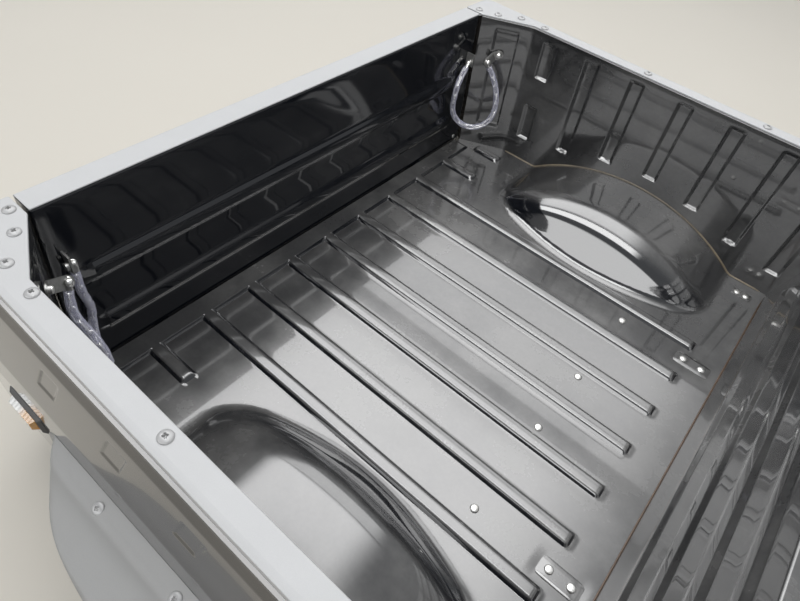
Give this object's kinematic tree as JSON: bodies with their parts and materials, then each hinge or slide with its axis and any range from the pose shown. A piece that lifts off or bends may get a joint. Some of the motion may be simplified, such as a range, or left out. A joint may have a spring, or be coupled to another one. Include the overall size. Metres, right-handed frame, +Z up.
{
  "type": "utility vehicle cargo bed",
  "caption": "Dumping steel cargo bed with ribbed floor, wheelhouses, slotted side walls, capped rails, fender flares and a bottom-hinged tailgate on sleeved chains.",
  "frame": {"origin": "on the dump hinge's axis, midway between the two ears under the floor", "axes": "+X forward towards the cab, +Y to the vehicle's left along the hinge axis, +Z up"},
  "size_m": [1.0198, 1.484, 0.466],
  "materials": {
    "bed_paint": "deep gloss black enamel on pressed steel, with dust and light haze",
    "frame_paint": "satin black paint on rolled steel",
    "rail_plastic": "sun-faded grey moulded plastic with a fine grain",
    "fender_plastic": "grey moulded plastic with a fine grain",
    "black_plastic": "black moulded plastic",
    "amber_lens": "amber reflector lens with moulded prisms",
    "red_lens": "red lamp lens with moulded ribs",
    "zinc_plate": "zinc plated steel, lightly weathered",
    "clear_sleeve": "clear vinyl sleeve with a blue cast over zinc plated links"
  },
  "bodies": {
    "bed": {"floor_pan": "bed_paint", "front_panel": "bed_paint", "dump_striker": "frame_paint", "strut_bracket": "frame_paint", "rear_channel": "frame_paint", "middle_channel": "frame_paint", "bolt_channel": "frame_paint", "front_channel": "frame_paint", "side_inner_left": "bed_paint", "side_inner_right": "bed_paint", "side_outer_left": "bed_paint", "side_outer_right": "bed_paint", "corner_post_left": "bed_paint", "corner_post_right": "bed_paint", "rail_cap_left": "rail_plastic", "rail_cap_right": "rail_plastic", "fender_flare_left": "fender_plastic", "fender_flare_right": "fender_plastic", "marker_base_left": "black_plastic", "marker_base_right": "black_plastic", "marker_lens_left": "amber_lens", "marker_lens_right": "amber_lens", "lamp_housing_left": "black_plastic", "lamp_housing_right": "black_plastic", "lamp_lens_left": "red_lens", "lamp_lens_right": "red_lens", "beam_left": "frame_paint", "beam_right": "frame_paint", "hinge_ear_left": "frame_paint", "hinge_ear_right": "frame_paint", "gate_pivot_left": "frame_paint", "gate_pivot_right": "frame_paint", "chain_anchor_left": "zinc_plate", "chain_anchor_right": "zinc_plate", "chain_left": "clear_sleeve", "chain_right": "clear_sleeve"},
    "tailgate": {"gate_inner": "bed_paint", "gate_outer": "bed_paint", "gate_cap": "rail_plastic", "gate_handle": "black_plastic", "gate_hinge_left": "frame_paint", "gate_hinge_right": "frame_paint", "chain_tab_left": "zinc_plate", "chain_tab_right": "zinc_plate"}
  },
  "joints": [
    {"name": "tailgate_hinge", "type": "hinge", "parent": "bed", "child": "tailgate", "pos_m": [-0.169, 0, 0.083], "axis": [0, -1, 0], "range_deg": [0, 90], "deforming": ["chain_left", "chain_right"]}
  ]
}
